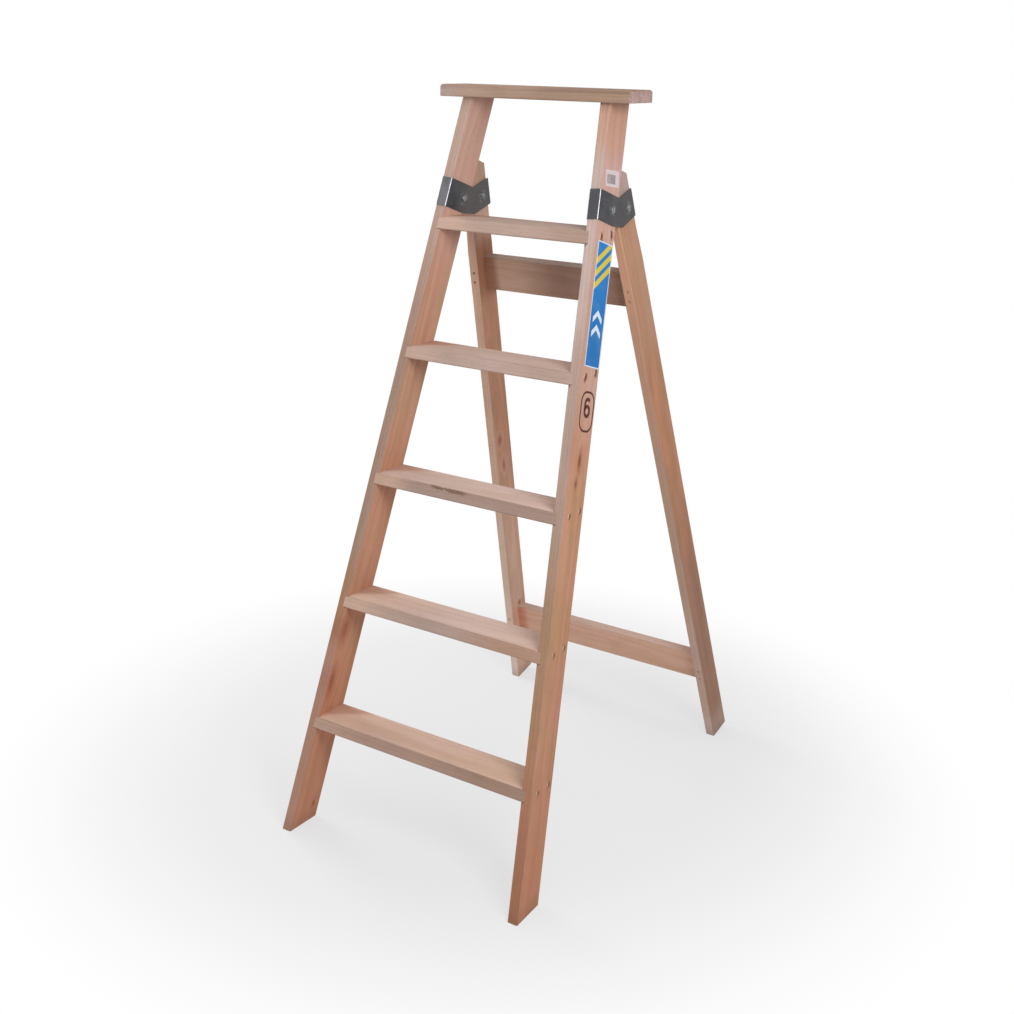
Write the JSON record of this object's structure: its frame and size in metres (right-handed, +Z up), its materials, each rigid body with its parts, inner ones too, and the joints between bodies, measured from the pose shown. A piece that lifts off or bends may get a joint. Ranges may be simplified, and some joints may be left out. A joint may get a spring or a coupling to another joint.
{
  "type": "wooden stepladder",
  "caption": "Folding wooden stepladder: splayed front frame with housed treads and a top plank, and a rear frame of legs and rails hung on riveted steel straps.",
  "frame": {"origin": "on the floor, midway between the feet from side to side and from front to back, with the ladder open", "axes": "+X to the right of someone facing the treads, +Y from the treads to the rear frame, +Z up"},
  "size_m": [0.6508, 1.0796, 1.67],
  "materials": {
    "stile_wood": "planed bare softwood, reddish",
    "tread_wood": "planed bare softwood, paler",
    "plank_wood": "planed bare softwood, rounded over",
    "leg_wood": "planed bare softwood, reddish",
    "rail_wood": "planed bare softwood",
    "strap_steel": "blackened sheet, satin",
    "rivet_steel": "hammered, dull",
    "nail_steel": "dull, sunk below the wood"
  },
  "bodies": {
    "front_frame": {"left_stile": "stile_wood", "right_stile": "stile_wood", "top_plank": "plank_wood", "tread_1": "tread_wood", "tread_2": "tread_wood", "tread_3": "tread_wood", "tread_4": "tread_wood", "tread_5": "tread_wood", "left_hinge_strap": "strap_steel", "right_hinge_strap": "strap_steel", "left_strap_rivet": "rivet_steel", "right_strap_rivet": "rivet_steel", "left_pivot_rivet": "rivet_steel", "right_pivot_rivet": "rivet_steel", "left_tread_nails": "nail_steel", "right_tread_nails": "nail_steel", "plank_nails": "nail_steel"},
    "rear_frame": {"left_rear_leg": "leg_wood", "right_rear_leg": "leg_wood", "upper_rail": "rail_wood", "lower_rail": "rail_wood", "upper_rail_pins": "nail_steel", "lower_rail_pins": "nail_steel"}
  },
  "joints": [
    {"name": "rear_frame_fold", "type": "hinge", "parent": "front_frame", "child": "rear_frame", "pos_m": [0, 0.03747, 1.42632], "axis": [-1, 0, 0], "range_deg": [0, 35.7]}
  ]
}
